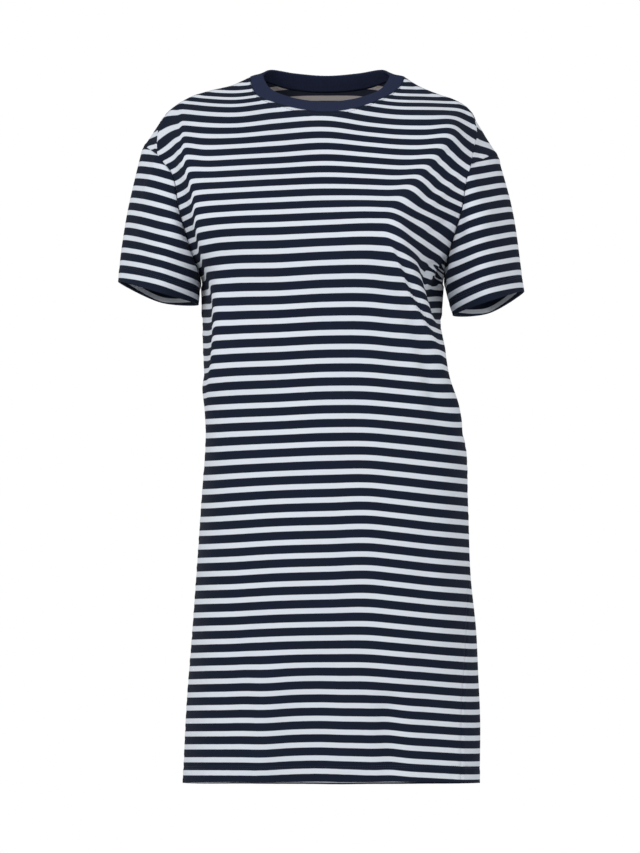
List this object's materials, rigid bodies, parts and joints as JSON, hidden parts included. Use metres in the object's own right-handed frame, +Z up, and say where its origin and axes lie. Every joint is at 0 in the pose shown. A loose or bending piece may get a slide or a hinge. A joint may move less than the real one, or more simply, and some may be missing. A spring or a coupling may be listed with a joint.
{
  "type": "nightshirt",
  "caption": "Knee-length striped jersey nightshirt in its worn, hollow form: crew neck with rib band, dropped shoulders and short sleeves.",
  "frame": {"origin": "midway between the two high shoulder points and level with them, where the wearer's shoulders hold the garment", "axes": "+Z up, -Y the way the front faces, +X towards the wearer's left sleeve"},
  "size_m": [0.4912, 0.243, 0.8802],
  "materials": {
    "jersey": "combed cotton jersey, yarn-dyed navy and white stripes, matt",
    "rib": "navy cotton rib, matt"
  },
  "bodies": {
    "root": {"front": "jersey", "back": "jersey", "sleeve_right": "jersey", "sleeve_left": "jersey", "neckband": "rib"}
  },
  "joints": []
}
